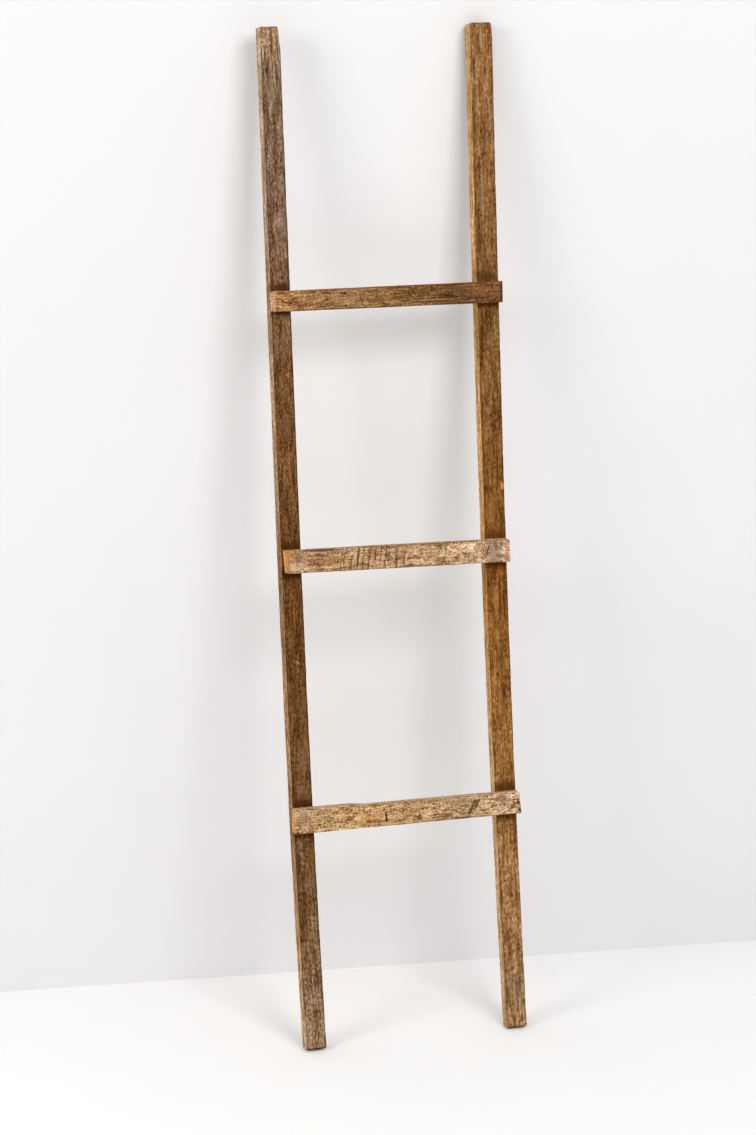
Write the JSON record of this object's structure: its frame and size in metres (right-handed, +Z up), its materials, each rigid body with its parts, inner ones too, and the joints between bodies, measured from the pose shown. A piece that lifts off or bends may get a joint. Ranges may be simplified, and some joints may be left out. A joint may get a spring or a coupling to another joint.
{
  "type": "blanket ladder",
  "caption": "Leaning blanket ladder of reclaimed hardwood battens: sprung rails with rungs lapped across their fronts and screwed from behind, for hanging folded throws",
  "frame": {"origin": "on the floor, at the middle of the ladder's box seen from above", "axes": "+X across the ladder to the viewer's right, +Y back towards the wall it leans on, +Z up"},
  "size_m": [0.4258, 0.331, 1.7841],
  "materials": {
    "left_rail_wood": "bare weathered hardwood, matt",
    "right_rail_wood": "bare weathered hardwood, matt",
    "top_rung_wood": "bare weathered hardwood, matt",
    "middle_rung_wood": "bare weathered hardwood, matt",
    "bottom_rung_wood": "bare weathered hardwood, matt",
    "screw_steel": "yellow zinc plated, lightly dulled"
  },
  "bodies": {
    "root": {"left_rail": "left_rail_wood", "right_rail": "right_rail_wood", "top_rung": "top_rung_wood", "middle_rung": "middle_rung_wood", "bottom_rung": "bottom_rung_wood", "top_rung_screws": "screw_steel", "middle_rung_screws": "screw_steel", "bottom_rung_screws": "screw_steel"}
  },
  "joints": []
}
